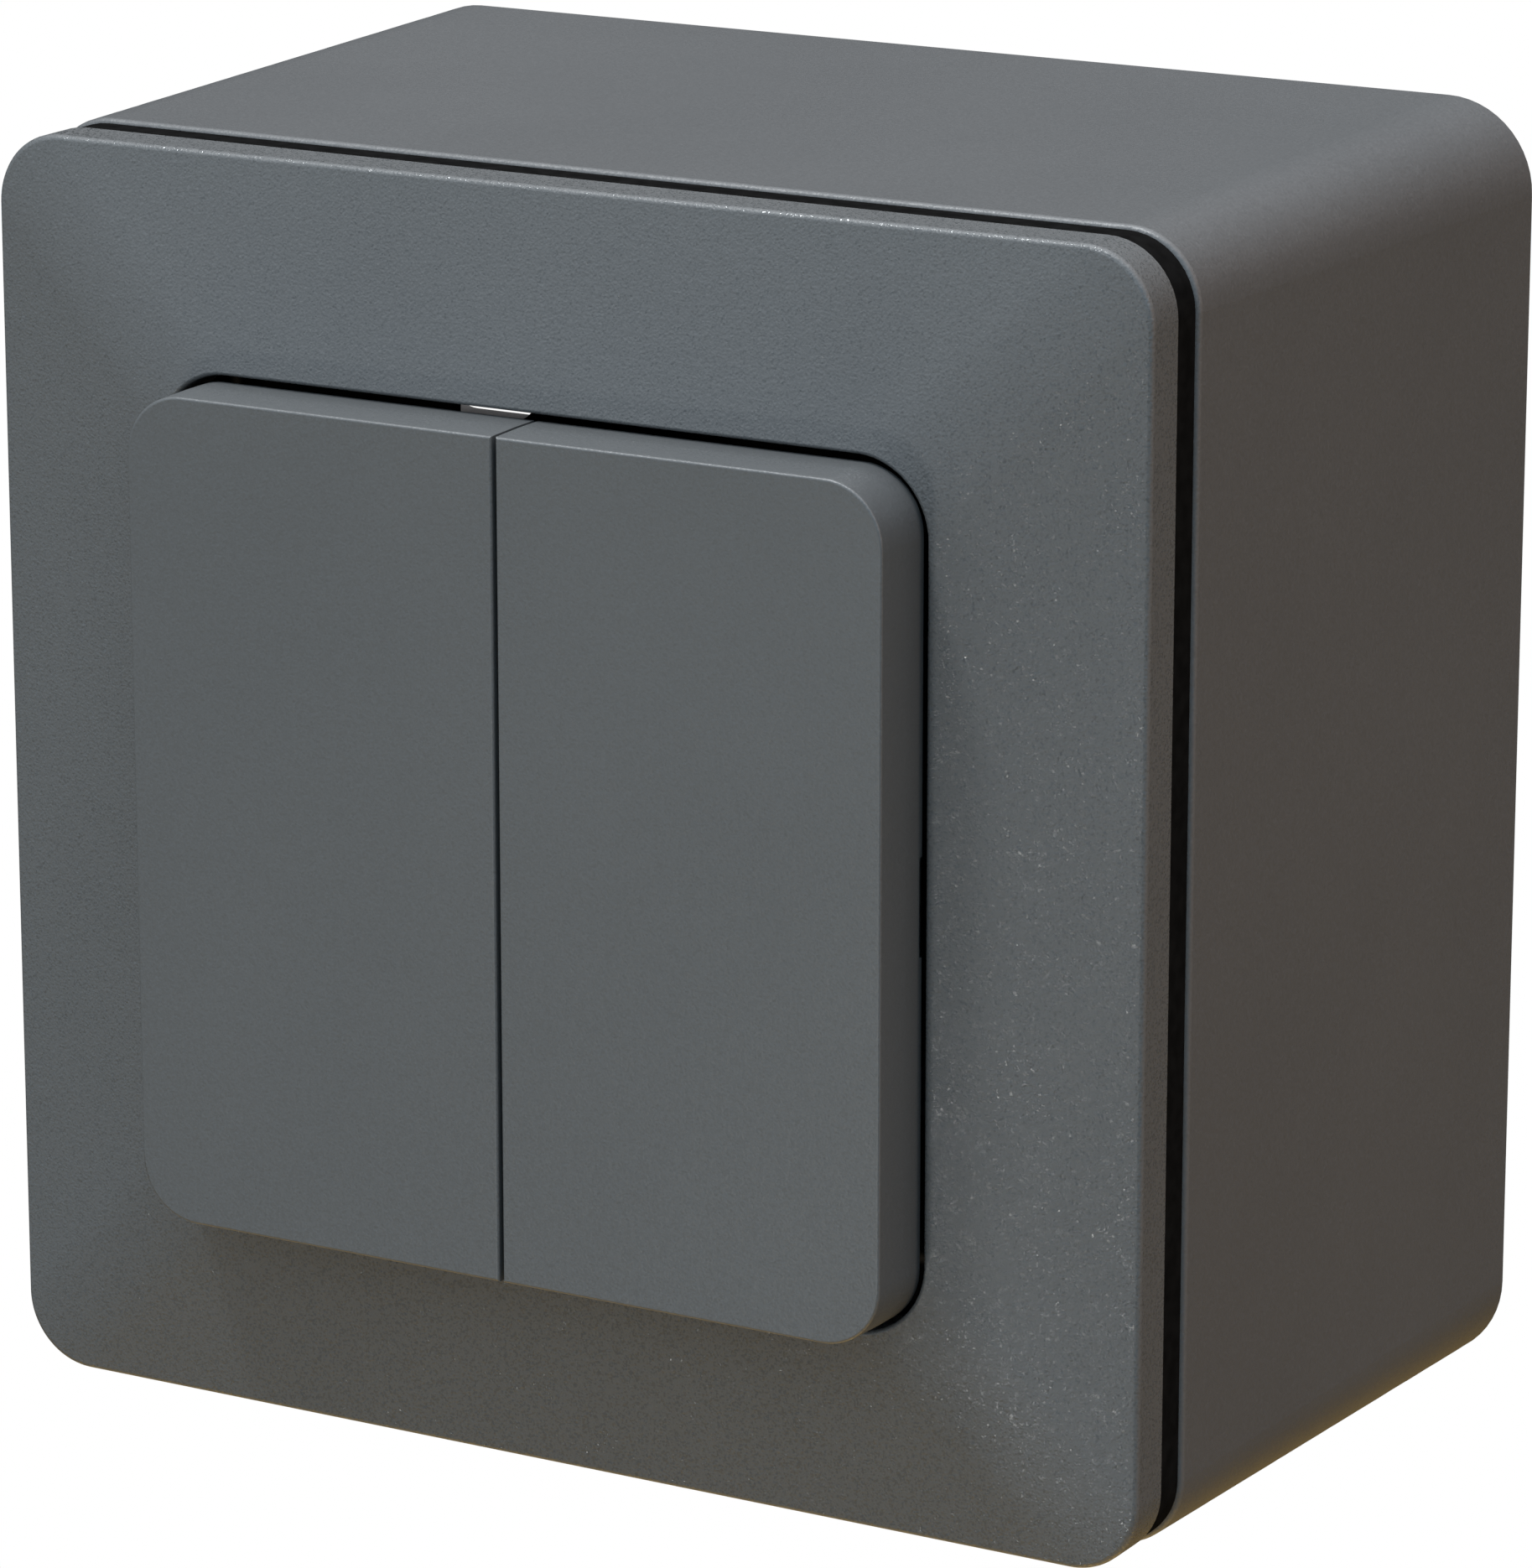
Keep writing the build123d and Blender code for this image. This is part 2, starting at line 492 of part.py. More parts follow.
def make_contact_blade(side):
    x = side * GANG_X
    front = [(-blade_front(abs(z)), z) for z in (-BLADE_HALF_LENGTH, 0, BLADE_HALF_LENGTH)]
    back = [(y + BLADE_THICKNESS, z) for y, z in reversed(front)]
    profile = make_face(Polyline(*front, *back, close=True))
    blade = extrude(Plane.YZ.offset(x - BLADE_HALF_WIDTH) * profile, amount=2 * BLADE_HALF_WIDTH)
    reach = SADDLE_HALF_GAP + SADDLE_THICKNESS
    for cheek_side in (-1, 1):
        pin_inner = x + cheek_side * (BLADE_HALF_WIDTH - BLADE_THICKNESS / 2)
        blade += cross_rod(BLADE_PIN_RADIUS, (pin_inner, x + cheek_side * reach), BLADE_PIVOT_DEPTH)
    return blade


CONTACT_SEAT_DEPTH = blade_front(CONTACT_Z - CONTACT_RADIUS) - BLADE_THICKNESS
MOVING_CONTACT_BACK = CONTACT_SEAT_DEPTH - MOVING_CONTACT_HEIGHT
FIXED_CONTACT_FRONT = OUTPUT_STRIP_DEPTH + FIXED_CONTACT_HEIGHT


def make_moving_contact(side):
    """A silver button whose front is cut to the slope of the blade's back."""
    x = side * GANG_X
    blank_front = CONTACT_SEAT_DEPTH + BLADE_THICKNESS
    button = rod(CONTACT_RADIUS, (MOVING_CONTACT_BACK, blank_front), x, -CONTACT_Z)
    beyond_blade = slab((x - BLADE_HALF_WIDTH, x + BLADE_HALF_WIDTH),
                        (blade_front(CONTACT_Z - 2 * CONTACT_RADIUS), blank_front + 1),
                        (-BLADE_HALF_LENGTH - CONTACT_RADIUS, 0))
    return button - make_contact_blade(side) - beyond_blade


def make_fixed_contact(side):
    x = side * GANG_X
    button = rod(CONTACT_RADIUS, (OUTPUT_STRIP_DEPTH, FIXED_CONTACT_FRONT), x, -CONTACT_Z)
    rim = button.edges().filter_by(GeomType.CIRCLE).sort_by(Axis.Y)[0]
    return fillet(rim, CONTACT_ROUNDING)


def make_output_strip(side):
    x = side * GANG_X
    x_range = (x - STRIP_HALF_WIDTH, x + STRIP_HALF_WIDTH)
    back = OUTPUT_STRIP_DEPTH - STRIP_THICKNESS
    strip = slab(x_range, (back, OUTPUT_STRIP_DEPTH), (-CLAMP_Z, -OUTPUT_STRIP_END_Z))
    strip += slab(x_range, (BASE_FLOOR_DEPTH, back), (-CLAMP_Z, -CLAMP_Z + STRIP_THICKNESS))
    return strip


def make_common_contact_bar():
    back = COMMON_BAR_DEPTH - STRIP_THICKNESS
    reach = GANG_X + SADDLE_HALF_GAP + SADDLE_THICKNESS
    bar = slab((-reach, reach), (back, COMMON_BAR_DEPTH), (-COMMON_BAR_HALF_HEIGHT, COMMON_BAR_HALF_HEIGHT))
    for x in GANGS.values():
        x_range = (x - STRIP_HALF_WIDTH, x + STRIP_HALF_WIDTH)
        bar += slab(x_range, (back, COMMON_BAR_DEPTH), (COMMON_BAR_HALF_HEIGHT, CLAMP_Z))
        bar += slab(x_range, (BASE_FLOOR_DEPTH, back), (CLAMP_Z - STRIP_THICKNESS, CLAMP_Z))
        for cheek_side in (-1, 1):
            inner = x + cheek_side * SADDLE_HALF_GAP
            outer = inner + cheek_side * SADDLE_THICKNESS
            bar += slab((inner, outer), (back, BLADE_PIVOT_DEPTH + SADDLE_RISE),
                        (-SADDLE_HALF_HEIGHT, SADDLE_HALF_HEIGHT))
            bar -= cross_rod(BLADE_PIN_RADIUS + RUNNING_CLEARANCE, (inner, outer), BLADE_PIVOT_DEPTH)
    return bar


def make_terminal_cage(side, end):
    """A cage round the clamped end of a strip. end is 1 for the top, -1 for the bottom."""
    x = side * GANG_X
    depths = (BASE_FLOOR_DEPTH, CAGE_FRONT_DEPTH)
    inside_far = CLAMP_Z + CAGE_FIT
    far = end * (inside_far + CAGE_WALL)
    near = end * (WIRE_Z - WIRE_HOLE_RADIUS - CAGE_WALL)
    cage = slab((x - CAGE_HALF_WIDTH, x + CAGE_HALF_WIDTH), depths, (near, far))
    inner_width = CAGE_HALF_WIDTH - CAGE_SIDE
    cage -= slab((x - inner_width, x + inner_width), depths, (near + end * CAGE_WALL, end * inside_far))
    cage -= upright_rod(CLAMP_SCREW_RADIUS, (end * CLAMP_Z, far), x, CLAMP_SCREW_DEPTH)
    return cage


def make_terminal_screws():
    screws = []
    depth = CLAMP_SCREW_DEPTH
    slot_half = CLAMP_SCREW_SLOT / 2
    for x in GANGS.values():
        for end in (-1, 1):
            tail = end * CLAMP_Z
            head = end * (BASE_HALF_HEIGHT - CLAMP_SCREW_SUNK)
            screw = upright_rod(CLAMP_SCREW_RADIUS, (tail, head), x, depth)
            screw -= slab((x - CLAMP_SCREW_RADIUS, x + CLAMP_SCREW_RADIUS),
                          (depth - slot_half, depth + slot_half), (head - end * CLAMP_SLOT_DEPTH, head))
            screws.append(screw)
    return screws


def make_mechanism_base():
    outline = Rectangle(2 * BASE_HALF_WIDTH, 2 * BASE_HALF_HEIGHT)
    base = extrude(Plane.XZ.offset(BASE_REAR_DEPTH) * chamfer(outline.vertices(), BASE_CHAMFER),
                   amount=BOX_DEPTH - BASE_REAR_DEPTH)
    tab_depths = (BOX_DEPTH - TAB_THICKNESS, BOX_DEPTH)
    for x, z in mirrored_places(1, 1):
        base += slab((x * (BASE_HALF_WIDTH - 1), x * (RIVET_X + TAB_MARGIN)), tab_depths,
                     (z * (RIVET_Z - TAB_MARGIN - 1), z * (RIVET_Z + TAB_MARGIN)))
    cavity = Rectangle(2 * CAVITY_HALF_WIDTH, 2 * CAVITY_HALF_HEIGHT)
    base -= extrude(Plane.XZ.offset(BASE_FLOOR_DEPTH) * chamfer(cavity.vertices(), BASE_CHAMFER - 1),
                    amount=BOX_DEPTH - BASE_FLOOR_DEPTH)
    rib = slab((-RIB_HALF, RIB_HALF), (BASE_FLOOR_DEPTH, BOX_DEPTH),
               (-CAVITY_HALF_HEIGHT, CAVITY_HALF_HEIGHT))
    bar_room = COMMON_BAR_HALF_HEIGHT + RIB_ROOM
    rib -= slab((-RIB_HALF, RIB_HALF), (BASE_FLOOR_DEPTH, BLADE_PIVOT_DEPTH + SADDLE_RISE),
                (-bar_room, bar_room))
    base += rib
    for x in GANGS.values():
        for end in (-1, 1):
            base -= rod(WIRE_HOLE_RADIUS, (BASE_REAR_DEPTH, BASE_FLOOR_DEPTH), x, end * WIRE_Z)
            base -= upright_rod(CLAMP_SCREW_HOLE, (end * CAVITY_HALF_HEIGHT, end * BASE_HALF_HEIGHT), x,
                                CLAMP_SCREW_DEPTH)
    for x, z in mirrored_places(RIVET_X, RIVET_Z):
        base -= rod(RIVET_RADIUS, tab_depths, x, z)
    return base


def make_mechanism_cover():
    outline = Rectangle(2 * COVER_HALF_WIDTH, 2 * COVER_HALF_HEIGHT)
    cover = extrude(Plane.XZ.offset(BOX_DEPTH) * chamfer(outline.vertices(), COVER_CHAMFER),
                    amount=COVER_PLATE)
    outer_ear = GANG_X + CRADLE_HALF_WIDTH + EAR_GAP
    middle_ear = GANG_X - CRADLE_HALF_WIDTH - EAR_GAP
    ears = [(-outer_ear - EAR_THICKNESS, -outer_ear), (-middle_ear, middle_ear),
            (outer_ear, outer_ear + EAR_THICKNESS)]
    for ear in ears:
        ear_block = slab(ear, (BOX_DEPTH + COVER_PLATE / 2, EAR_DEPTH), (-EAR_HALF_HEIGHT, EAR_HALF_HEIGHT))
        cover += fillet(ear_block.edges().filter_by(Axis.X).sort_by(Axis.Y)[:2], EAR_ROUNDING)
        cover -= cross_rod(TRUNNION_RADIUS + RUNNING_CLEARANCE, ear, PIVOT_DEPTH)
    for x in GANGS.values():
        cover -= slab((x - SWING_HALF_WIDTH, x + SWING_HALF_WIDTH), (BOX_DEPTH, COVER_FRONT_DEPTH),
                      (-SWING_HALF_HEIGHT, SWING_HALF_HEIGHT))
        for end in (-1, 1):
            foot = end * CAVITY_HALF_HEIGHT
            cover += slab((x - FOOT_HALF_WIDTH, x + FOOT_HALF_WIDTH), (BOX_DEPTH - FOOT_REACH, BOX_DEPTH),
                          (foot - end * FOOT_THICKNESS, foot))
    return cover


def make_mechanism_rivets():
    rivets = []
    tab_back = BOX_DEPTH - TAB_THICKNESS
    for x, z in mirrored_places(RIVET_X, RIVET_Z):
        shank = rod(RIVET_RADIUS, (tab_back, PLATE_FRONT_DEPTH), x, z)
        head = rod(RIVET_HEAD_RADIUS, (PLATE_FRONT_DEPTH, PLATE_FRONT_DEPTH + RIVET_HEAD_HEIGHT), x, z)
        tail = rod(RIVET_TAIL_RADIUS, (tab_back - RIVET_TAIL_HEIGHT, tab_back), x, z)
        rivets.append(shank + head + tail)
    return rivets


def save(node, shape):
    solids = list(shape) if isinstance(shape, list) else [shape]
    flat = [solid for item in solids for solid in item.solids()]
    body = flat[0] if len(flat) == 1 else Compound(children=flat)
    export_step(body, f"parts/{node}.step")


os.makedirs("parts", exist_ok=True)

save("surface_box", make_surface_box())
save("spacer_ring", make_spacer_ring())
save("support_frame", make_support_frame())
save("support_frame_screws", make_support_frame_screws())
save("cover_frame", make_cover_frame())
save("mechanism_base", make_mechanism_base())
save("mechanism_cover", make_mechanism_cover())
save("mechanism_rivets", make_mechanism_rivets())
save("common_contact_bar", make_common_contact_bar())
save("terminal_screws", make_terminal_screws())
for name, side in (("left", -1), ("right", 1)):
    save(f"{name}_key", make_key(side))
    save(f"{name}_rocker", make_rocker(side))
    save(f"{name}_plunger", make_plunger(side))
    save(f"{name}_plunger_spring", make_plunger_spring(side))
    save(f"{name}_contact_blade", make_contact_blade(side))
    save(f"{name}_moving_contact", make_moving_contact(side))
    save(f"{name}_fixed_contact", make_fixed_contact(side))
    save(f"{name}_output_strip", make_output_strip(side))
    save(f"upper_{name}_cage", make_terminal_cage(side, 1))
    save(f"lower_{name}_cage", make_terminal_cage(side, -1))
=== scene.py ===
import json
import math

import bpy
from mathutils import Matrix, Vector


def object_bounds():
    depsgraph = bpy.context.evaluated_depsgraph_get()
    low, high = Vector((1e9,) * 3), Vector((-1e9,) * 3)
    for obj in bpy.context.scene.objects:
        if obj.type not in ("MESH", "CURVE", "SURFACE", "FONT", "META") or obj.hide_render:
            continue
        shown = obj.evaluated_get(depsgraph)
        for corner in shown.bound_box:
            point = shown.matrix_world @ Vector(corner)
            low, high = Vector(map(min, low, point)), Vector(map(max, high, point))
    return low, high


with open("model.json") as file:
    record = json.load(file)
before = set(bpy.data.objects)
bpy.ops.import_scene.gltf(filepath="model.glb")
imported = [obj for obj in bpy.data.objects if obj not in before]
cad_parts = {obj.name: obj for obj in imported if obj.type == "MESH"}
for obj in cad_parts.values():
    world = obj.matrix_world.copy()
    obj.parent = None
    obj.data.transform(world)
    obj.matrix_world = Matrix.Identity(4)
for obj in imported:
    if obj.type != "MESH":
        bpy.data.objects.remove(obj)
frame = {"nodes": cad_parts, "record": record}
cad_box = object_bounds()

MM = 0.001

# ---- camera: seen from above the right front corner, like a product shot ----
CAMERA_AZIMUTH = math.radians(30)
CAMERA_ELEVATION = math.radians(15)
CAMERA_DISTANCE = 496.5 * MM
CAMERA_TARGET = Vector((-0.135, -24.71, -2.594)) * MM
CAMERA_LENS = 169.14
SENSOR_WIDTH = 36.0


def add_camera():
    data = bpy.data.cameras.new("camera")
    data.lens = CAMERA_LENS
    data.sensor_width = SENSOR_WIDTH
    data.clip_start = 0.01
    data.clip_end = 20
    camera = bpy.data.objects.new("camera", data)
    back = Vector((math.sin(CAMERA_AZIMUTH) * math.cos(CAMERA_ELEVATION),
                   -math.cos(CAMERA_AZIMUTH) * math.cos(CAMERA_ELEVATION),
                   math.sin(CAMERA_ELEVATION)))
    camera.location = CAMERA_TARGET + back * CAMERA_DISTANCE
    camera.rotation_euler = back.to_track_quat("Z", "Y").to_euler()
    bpy.context.scene.collection.objects.link(camera)
    bpy.context.scene.camera = camera


# ---- small helpers for node trees ----
class Tree:
    """Builds a node tree a few words at a time."""

    def __init__(self, tree):
        self.tree = tree
        tree.nodes.clear()

    def node(self, kind, **settings):
        made = self.tree.nodes.new(kind)
        for name, value in settings.items():
            setattr(made, name, value)
        return made

    def link(self, source, target):
        self.tree.links.new(source, target)

    def feed(self, socket, value):
        """Links a socket or sets a number, whichever value is."""
        if isinstance(value, bpy.types.NodeSocket):
            self.link(value, socket)
        else:
            socket.default_value = value

    def math(self, operation, first, second=0.0):
        made = self.node("ShaderNodeMath", operation=operation)
        self.feed(made.inputs[0], first)
        self.feed(made.inputs[1], second)
        return made.outputs[0]

    def vector(self, operation, first, second=None):
        """Works on one vector, on two, or for SCALE on a vector and a number."""
        made = self.node("ShaderNodeVectorMath", operation=operation)
        self.feed(made.inputs[0], first)
        if second is not None:
            self.feed(made.inputs["Scale" if operation == "SCALE" else 1], second)
        return made.outputs["Value" if operation == "DOT_PRODUCT" else "Vector"]

    def noise(self, vector, scale, detail=2.0, rough=0.5, distortion=0.0):
        made = self.node("ShaderNodeTexNoise")
        self.link(vector, made.inputs["Vector"])
        made.inputs["Scale"].default_value = scale
        made.inputs["Detail"].default_value = detail
        made.inputs["Roughness"].default_value = rough
        made.inputs["Distortion"].default_value = distortion
        return made.outputs["Fac"]

    def voronoi(self, vector, scale, feature):
        made = self.node("ShaderNodeTexVoronoi", feature=feature)
        self.link(vector, made.inputs["Vector"])
        made.inputs["Scale"].default_value = scale
        return made.outputs

    def remap(self, value, low, high, out_low, out_high):
        made = self.node("ShaderNodeMapRange")
        self.feed(made.inputs["Value"], value)
        limits = {"From Min": low, "From Max": high, "To Min": out_low, "To Max": out_high}
        for name, number in limits.items():
            made.inputs[name].default_value = number
        return made.outputs["Result"]

    def mix_color(self, factor, first, second):
        made = self.node("ShaderNodeMix", data_type="RGBA")
        self.feed(made.inputs["Factor"], factor)
        self.feed(made.inputs[6], first)
        self.feed(made.inputs[7], second)
        return made.outputs[2]


def rgb(red, green, blue):
    return (red, green, blue, 1.0)


def new_material(name):
    material = bpy.data.materials.new(name)
    material.use_nodes = True
    return material, Tree(material.node_tree)


def finish_material(tree, color, roughness, normal=None, metallic=0.0, specular=0.5):
    shader = tree.node("ShaderNodeBsdfPrincipled")
    tree.feed(shader.inputs["Base Color"], color)
    tree.feed(shader.inputs["Roughness"], roughness)
    shader.inputs["Metallic"].default_value = metallic
    shader.inputs["Specular IOR Level"].default_value = specular
    if normal is not None:
        tree.link(normal, shader.inputs["Normal"])
    output = tree.node("ShaderNodeOutputMaterial")
    tree.link(shader.outputs["BSDF"], output.inputs["Surface"])


def bump(tree, height, distance):
    made = tree.node("ShaderNodeBump")
    made.inputs["Strength"].default_value = 1.0
    made.inputs["Distance"].default_value = distance
    tree.link(height, made.inputs["Height"])
    return made.outputs["Normal"]


TONE_RANGE = (0.35, 0.65)       # the noise values that become the dark and the light tone
ROUGH_RANGE = (0.3, 0.7)        # the noise values that become the smoothest and the roughest


def between(tree, noise, dark, light):
    """A colour between dark and light, as the noise says."""
    return tree.mix_color(tree.remap(noise, *TONE_RANGE, 0.0, 1.0), rgb(*dark), rgb(*light))


def uneven(tree, noise, roughness, spread):
    """A roughness that varies with the noise."""
    return tree.remap(noise, *ROUGH_RANGE, roughness - spread, roughness + spread)


# ---- the anthracite plastic of box, frame and keys ----
GRAIN_PER_M = 5200.0            # bumps of the moulded grain, about a fifth of a millimetre apart
WRINKLES_PER_M = 6760.0         # wrinkles across the bumps
BUMP_SHARE = 0.6
WRINKLE_SHARE = 0.9
CLOUDS_PER_M = 60.0             # slow changes of tone
GRAIN_ROUGHNESS_SPREAD = 0.03
FACETS_PER_M = 7500.0           # flat spots, finer than the grain
GLOSSY_ROUGHNESS = 0.11         # some of them are smooth enough to glint
GLOSSY_LEAN = 0.16


def facets(tree, place, normal, lean, glossy_share):
    """Leans the normal a different way on each tiny cell, and says which cells are glossy."""
    cells = tree.voronoi(place, FACETS_PER_M, "F1")
    chance = tree.node("ShaderNodeTexWhiteNoise", noise_dimensions="3D")
    tree.link(cells["Position"], chance.inputs["Vector"])
    glossy = tree.math("LESS_THAN", chance.outputs["Value"], glossy_share)
    either_way = tree.vector("SUBTRACT", cells["Color"], (0.5, 0.5, 0.5))
    leaning = tree.vector("SCALE", either_way, tree.remap(glossy, 0.0, 1.0, lean, GLOSSY_LEAN))
    return tree.vector("NORMALIZE", tree.vector("ADD", normal, leaning)), glossy


def grained_plastic(name, dark, light, roughness, grain_height, lean, glossy_share):
    """Moulded anthracite plastic: a fine grain with tiny facets that glint."""
    material, tree = new_material(name)
    place = tree.node("ShaderNodeTexCoord").outputs["Object"]
    bumps = tree.voronoi(place, GRAIN_PER_M, "SMOOTH_F1")["Distance"]
    wrinkles = tree.noise(place, WRINKLES_PER_M, detail=3.0, rough=0.6, distortion=0.4)
    height = tree.math("ADD", tree.math("MULTIPLY", bumps, BUMP_SHARE),
                       tree.math("MULTIPLY", wrinkles, WRINKLE_SHARE))
    clouds = tree.noise(place, CLOUDS_PER_M, detail=3.0)
    tone = tree.math("MULTIPLY", tree.math("ADD", wrinkles, clouds), 0.5)
    dull = uneven(tree, wrinkles, roughness, GRAIN_ROUGHNESS_SPREAD)
    normal, glossy = facets(tree, place, bump(tree, height, grain_height), lean, glossy_share)
    shine = tree.math("MULTIPLY", glossy, roughness - GLOSSY_ROUGHNESS)
    finish_material(tree, between(tree, tone, dark, light), tree.math("SUBTRACT", dull, shine), normal)
    return material


# ---- the pieces inside ----
SPECKLES_PER_M = 900.0
SPECKLE_HEIGHT = 0.01 * MM
SPECKLE_ROUGHNESS_SPREAD = 0.05
STREAKS_PER_M = 900.0
STREAK_HEIGHT = 0.008 * MM
STREAK_ROUGHNESS_SPREAD = 0.08
TARNISH_PER_M = 150.0
STREAKS_ALONG_Z = (1.0, 1.0, 0.08)
STREAKS_ALONG_X = (0.08, 1.0, 1.0)


def dull_plastic(name, dark, light, roughness, specular=0.5):
    """Plain moulded plastic with a fine speckle."""
    material, tree = new_material(name)
    place = tree.node("ShaderNodeTexCoord").outputs["Object"]
    speckle = tree.noise(place, SPECKLES_PER_M, detail=3.0)
    rough = uneven(tree, speckle, roughness, SPECKLE_ROUGHNESS_SPREAD)
    normal = bump(tree, speckle, SPECKLE_HEIGHT)
    finish_material(tree, between(tree, speckle, dark, light), rough, normal, specular=specular)
    return material


def worked_metal(name, dark, light, roughness, stretch):
    """Stamped or drawn metal: streaks along one direction and a faint tarnish."""
    material, tree = new_material(name)
    place = tree.node("ShaderNodeTexCoord").outputs["Object"]
    stretched = tree.node("ShaderNodeMapping")
    stretched.inputs["Scale"].default_value = stretch
    tree.link(place, stretched.inputs["Vector"])
    streaks = tree.noise(stretched.outputs["Vector"], STREAKS_PER_M, detail=4.0)
    tarnish = tree.noise(place, TARNISH_PER_M, detail=3.0)
    rough = uneven(tree, streaks, roughness, STREAK_ROUGHNESS_SPREAD)
    normal = bump(tree, streaks, STREAK_HEIGHT)
    finish_material(tree, between(tree, tarnish, dark, light), rough, normal, metallic=1.0)
    return material


def make_materials():
    """One material for each material slot of the record."""
    return {
        "anthracite_box": grained_plastic(
            "box_plastic", (0.055, 0.058, 0.060), (0.061, 0.064, 0.066),
            roughness=0.42, grain_height=0.012 * MM, lean=0.12, glossy_share=0.0),
        "anthracite_frame": grained_plastic(
            "frame_plastic", (0.055, 0.059, 0.061), (0.062, 0.066, 0.068),
            roughness=0.48, grain_height=0.034 * MM, lean=0.05, glossy_share=0.3),
        "anthracite_key": grained_plastic(
            "key_plastic", (0.055, 0.059, 0.061), (0.060, 0.064, 0.066),
            roughness=0.40, grain_height=0.015 * MM, lean=0.10, glossy_share=0.0),
        "black_plastic": dull_plastic(
            "ring_plastic", (0.004, 0.004, 0.004), (0.006, 0.006, 0.006), 0.7, specular=0.0),
        "dark_thermoset": dull_plastic("thermoset", (0.028, 0.029, 0.031), (0.042, 0.043, 0.045), 0.5),
        "cradle_plastic": dull_plastic("cradle_plastic", (0.042, 0.044, 0.047), (0.056, 0.058, 0.061), 0.45),
        "plunger_plastic": dull_plastic("plunger_plastic", (0.70, 0.69, 0.65), (0.78, 0.77, 0.73), 0.35),
        # the support frame's steel is darkened to near black: painted shade for the inside of the box, seen
        # through the gap around the keys
        "zinc_steel": worked_metal(
            "zinc_steel", (0.016, 0.013, 0.010), (0.028, 0.023, 0.018), 0.5, STREAKS_ALONG_Z),
        "screw_steel": worked_metal(
            "screw_steel", (0.50, 0.51, 0.52), (0.62, 0.63, 0.64), 0.3, STREAKS_ALONG_Z),
        "spring_steel": worked_metal(
            "spring_steel", (0.45, 0.45, 0.46), (0.55, 0.55, 0.56), 0.3, STREAKS_ALONG_X),
        "brass": worked_metal(
            "brass", (0.62, 0.42, 0.16), (0.78, 0.58, 0.28), 0.3, STREAKS_ALONG_X),
        "copper_alloy": worked_metal(
            "copper_alloy", (0.62, 0.32, 0.16), (0.76, 0.46, 0.27), 0.3, STREAKS_ALONG_X),
        "silver_contact": worked_metal(
            "silver_contact", (0.72, 0.72, 0.70), (0.84, 0.84, 0.82), 0.25, STREAKS_ALONG_Z),
    }


def dress_nodes(materials):
    slots = {part["node"]: part["material_slot"] for part in frame["record"]["subparts"]}
    for name, piece in frame["nodes"].items():
        piece.data.materials.clear()
        piece.data.materials.append(materials[slots[name]])


# ---- light and surroundings ----
BREADTH_POWER = 4.0     # the higher, the narrower each light
STUDIO_LIGHT = [                                # direction, strength, tint
    ((0, 0, 1), 3.8, (1.0, 1.0, 1.03)),         # wide overhead light
    ((-1, -1, 0.7), 1.6, (0.95, 1.03, 1.1)),    # front left, cool
    ((1, -1, 0.7), 0.8, (0.4, 1.0, 1.5)),       # front right, bluish
    ((1, 0.1, 0.4), 1.1, (1.5, 1.05, 0.75)),    # right side, warm
    ((0, 0, -1), 1.6, (1.5, 1.0, 0.35)),        # warm bounce from below
]


def studio_color(tree):
    """The sum of the broad lights, each strongest towards its own direction."""
    towards = tree.node("ShaderNodeTexCoord").outputs["Generated"]
    total = (0.0, 0.0, 0.0)
    for axis, strength, tint in STUDIO_LIGHT:
        facing = tree.vector("DOT_PRODUCT", towards, Vector(axis).normalized())
        falloff = tree.math("POWER", tree.math("MAXIMUM", facing, 0.0), BREADTH_POWER)
        light = tree.vector("SCALE", tint, tree.math("MULTIPLY", falloff, strength))
        total = tree.vector("ADD", total, light)
    return total


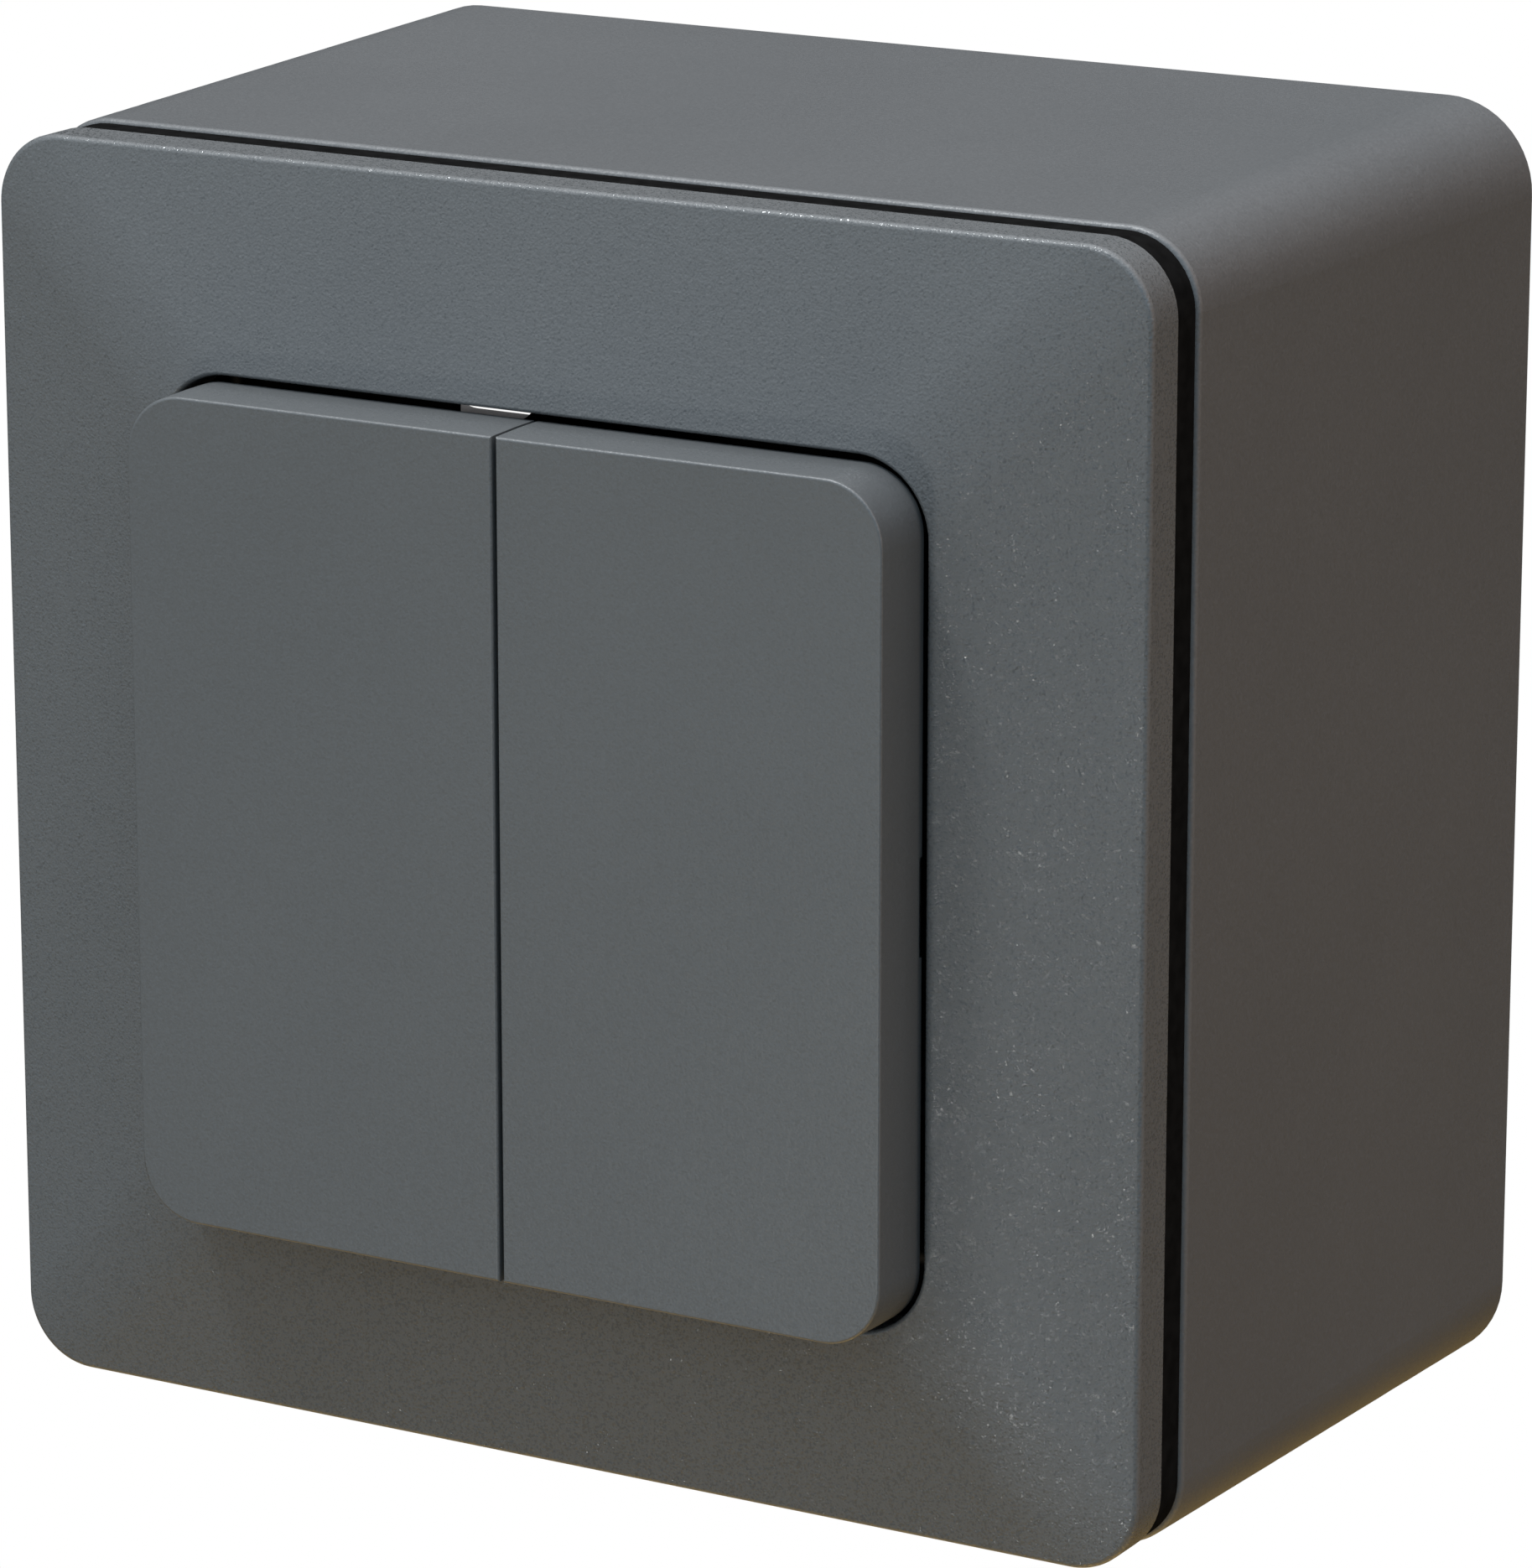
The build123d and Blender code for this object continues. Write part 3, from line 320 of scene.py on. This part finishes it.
def add_world():
    """The studio lights the object, and the camera sees white paper behind it."""
    world = bpy.data.worlds.new("studio")
    world.use_nodes = True
    bpy.context.scene.world = world
    tree = Tree(world.node_tree)
    studio = tree.node("ShaderNodeBackground")
    tree.link(studio_color(tree), studio.inputs["Color"])
    paper = tree.node("ShaderNodeBackground")
    paper.inputs["Color"].default_value = rgb(1, 1, 1)
    mix = tree.node("ShaderNodeMixShader")
    tree.link(tree.node("ShaderNodeLightPath").outputs["Is Camera Ray"], mix.inputs[0])
    tree.link(studio.outputs[0], mix.inputs[1])
    tree.link(paper.outputs[0], mix.inputs[2])
    output = tree.node("ShaderNodeOutputWorld")
    tree.link(mix.outputs[0], output.inputs["Surface"])


FLOOR_GAP = 60 * MM
FLOOR_SIZE = 6.0


def add_floor():
    """A white floor well below the switch, which hangs on a wall and stands on nothing."""
    height = cad_box[0][2] - FLOOR_GAP
    bpy.ops.mesh.primitive_plane_add(size=FLOOR_SIZE, location=(0, 0, height))
    floor = bpy.context.object
    floor.name = "floor"
    material, tree = new_material("floor_paper")
    glow = tree.node("ShaderNodeEmission")
    glow.inputs["Color"].default_value = rgb(1, 1, 1)
    output = tree.node("ShaderNodeOutputMaterial")
    tree.link(glow.outputs[0], output.inputs["Surface"])
    floor.data.materials.append(material)
    floor.visible_diffuse = False
    floor.visible_glossy = False
    floor.visible_transmission = False
    floor.visible_shadow = False


LAMP_DISTANCE = 0.9
LAMPS = [                                       # name, direction, size, power, colour
    ("key_light", (-0.23, -0.34, 0.92), 0.12, 6.5, (1.0, 1.04, 1.06)),
    ("front_glint", (-0.17, -0.9, -0.38), 0.06, 1.1, (1.0, 1.0, 0.96)),
]


def add_lamps():
    for name, direction, size, power, color in LAMPS:
        data = bpy.data.lights.new(name, "AREA")
        data.shape = "DISK"
        data.size = size
        data.energy = power
        data.color = color
        lamp = bpy.data.objects.new(name, data)
        away = Vector(direction).normalized()
        lamp.location = CAMERA_TARGET + away * LAMP_DISTANCE
        lamp.rotation_euler = away.to_track_quat("Z", "Y").to_euler()
        bpy.context.scene.collection.objects.link(lamp)


def main():
    bpy.context.scene.view_settings.view_transform = "Standard"
    add_camera()
    add_world()
    add_floor()
    add_lamps()
    dress_nodes(make_materials())


main()
